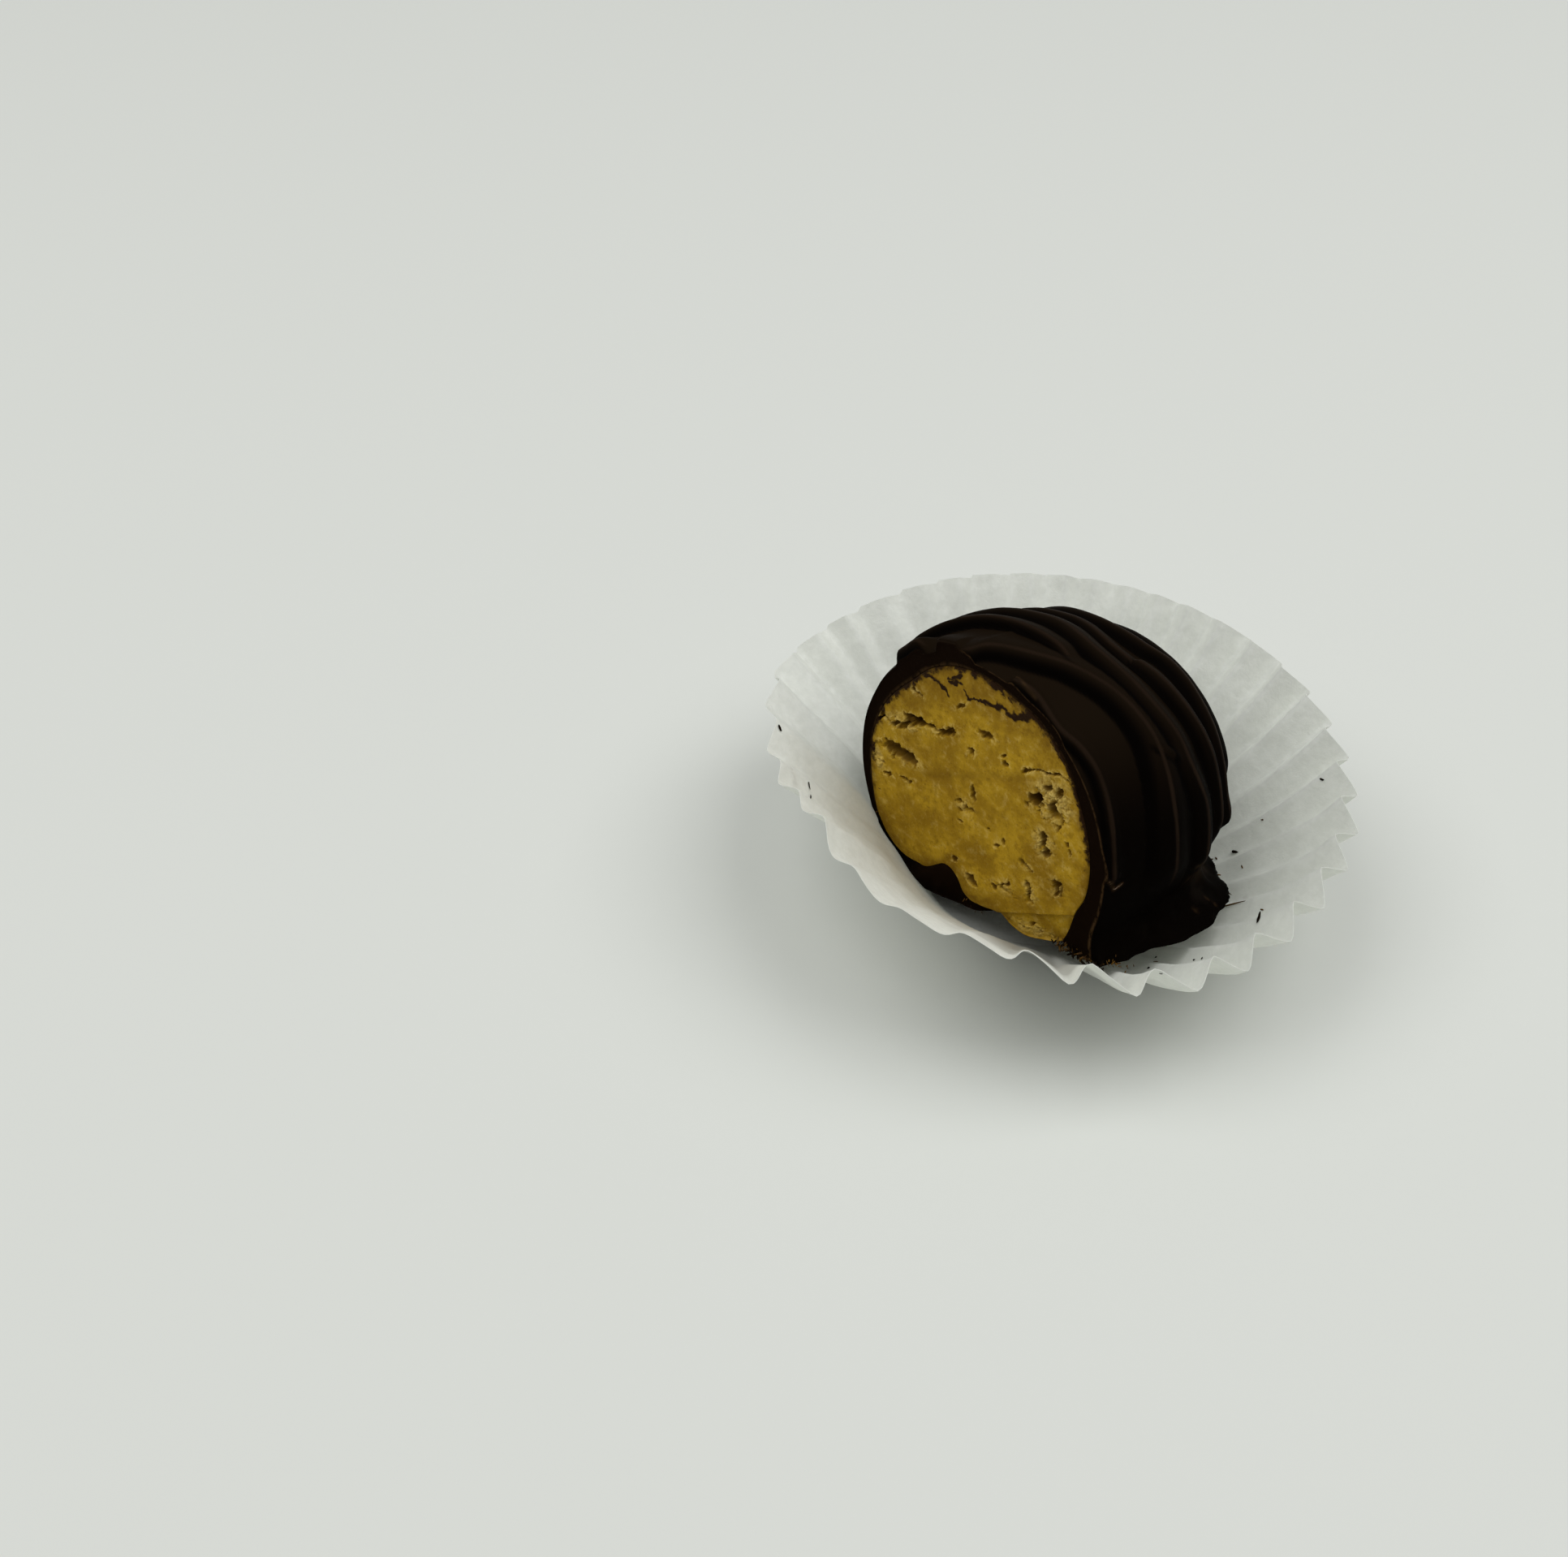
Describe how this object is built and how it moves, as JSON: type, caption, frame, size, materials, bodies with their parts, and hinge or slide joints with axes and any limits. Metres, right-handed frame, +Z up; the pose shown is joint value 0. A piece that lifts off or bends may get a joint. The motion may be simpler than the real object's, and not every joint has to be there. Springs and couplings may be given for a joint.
{
  "type": "buckeye candy",
  "caption": "Ball of peanut filling dipped in dark chocolate and drizzled, cut across so that the filling shows, set in a fluted paper case.",
  "frame": {"origin": "middle of the flat underside of the paper case, on the surface that it stands on", "axes": "+Z up, the cut faces -Y, +X to the right of the cut"},
  "size_m": [0.0603, 0.0556, 0.0324],
  "materials": {
    "paper": "thin white pleated paper, matte, slightly see-through",
    "chocolate": "dark chocolate set with a soft satin sheen",
    "filling": "dull crumbly peanut filling, smeared where it is cut"
  },
  "bodies": {
    "root": {"paper_case": "paper", "chocolate_coating": "chocolate", "peanut_filling": "filling"}
  },
  "joints": []
}
